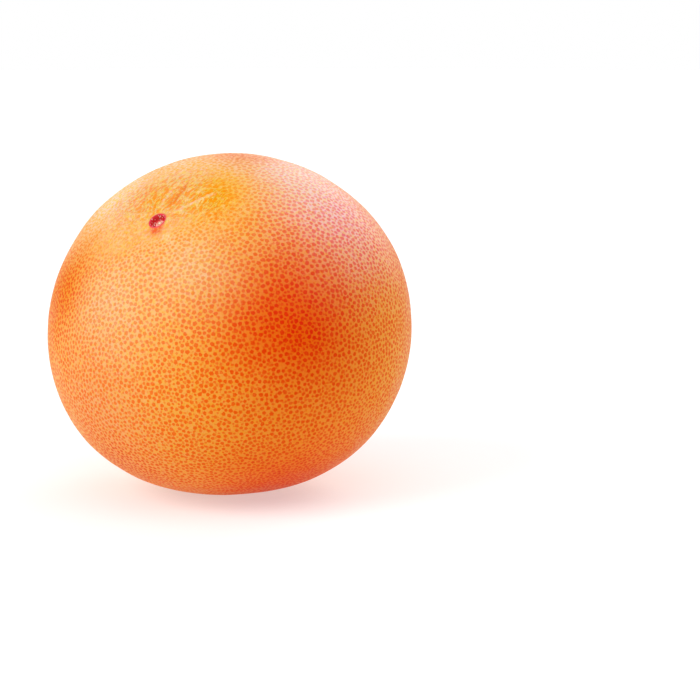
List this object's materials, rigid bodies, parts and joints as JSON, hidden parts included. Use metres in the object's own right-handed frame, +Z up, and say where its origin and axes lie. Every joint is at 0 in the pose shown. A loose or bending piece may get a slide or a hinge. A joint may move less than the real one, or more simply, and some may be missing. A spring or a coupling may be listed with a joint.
{
  "type": "grapefruit",
  "caption": "Whole ripe grapefruit, a slightly squashed globe with pitted peel, a button scar at the stem end and a small flat spot to rest on.",
  "frame": {"origin": "on the resting plane, under the middle of the fruit's outer box", "axes": "+Z up from the flat spot it rests on; the stem end leans up and towards -X and -Y"},
  "size_m": [0.1096, 0.1064, 0.1005],
  "materials": {
    "peel": "waxy satin peel, orange blushed with red and yellow, dotted with darker oil glands"
  },
  "bodies": {
    "root": {"grapefruit": "peel"}
  },
  "joints": []
}
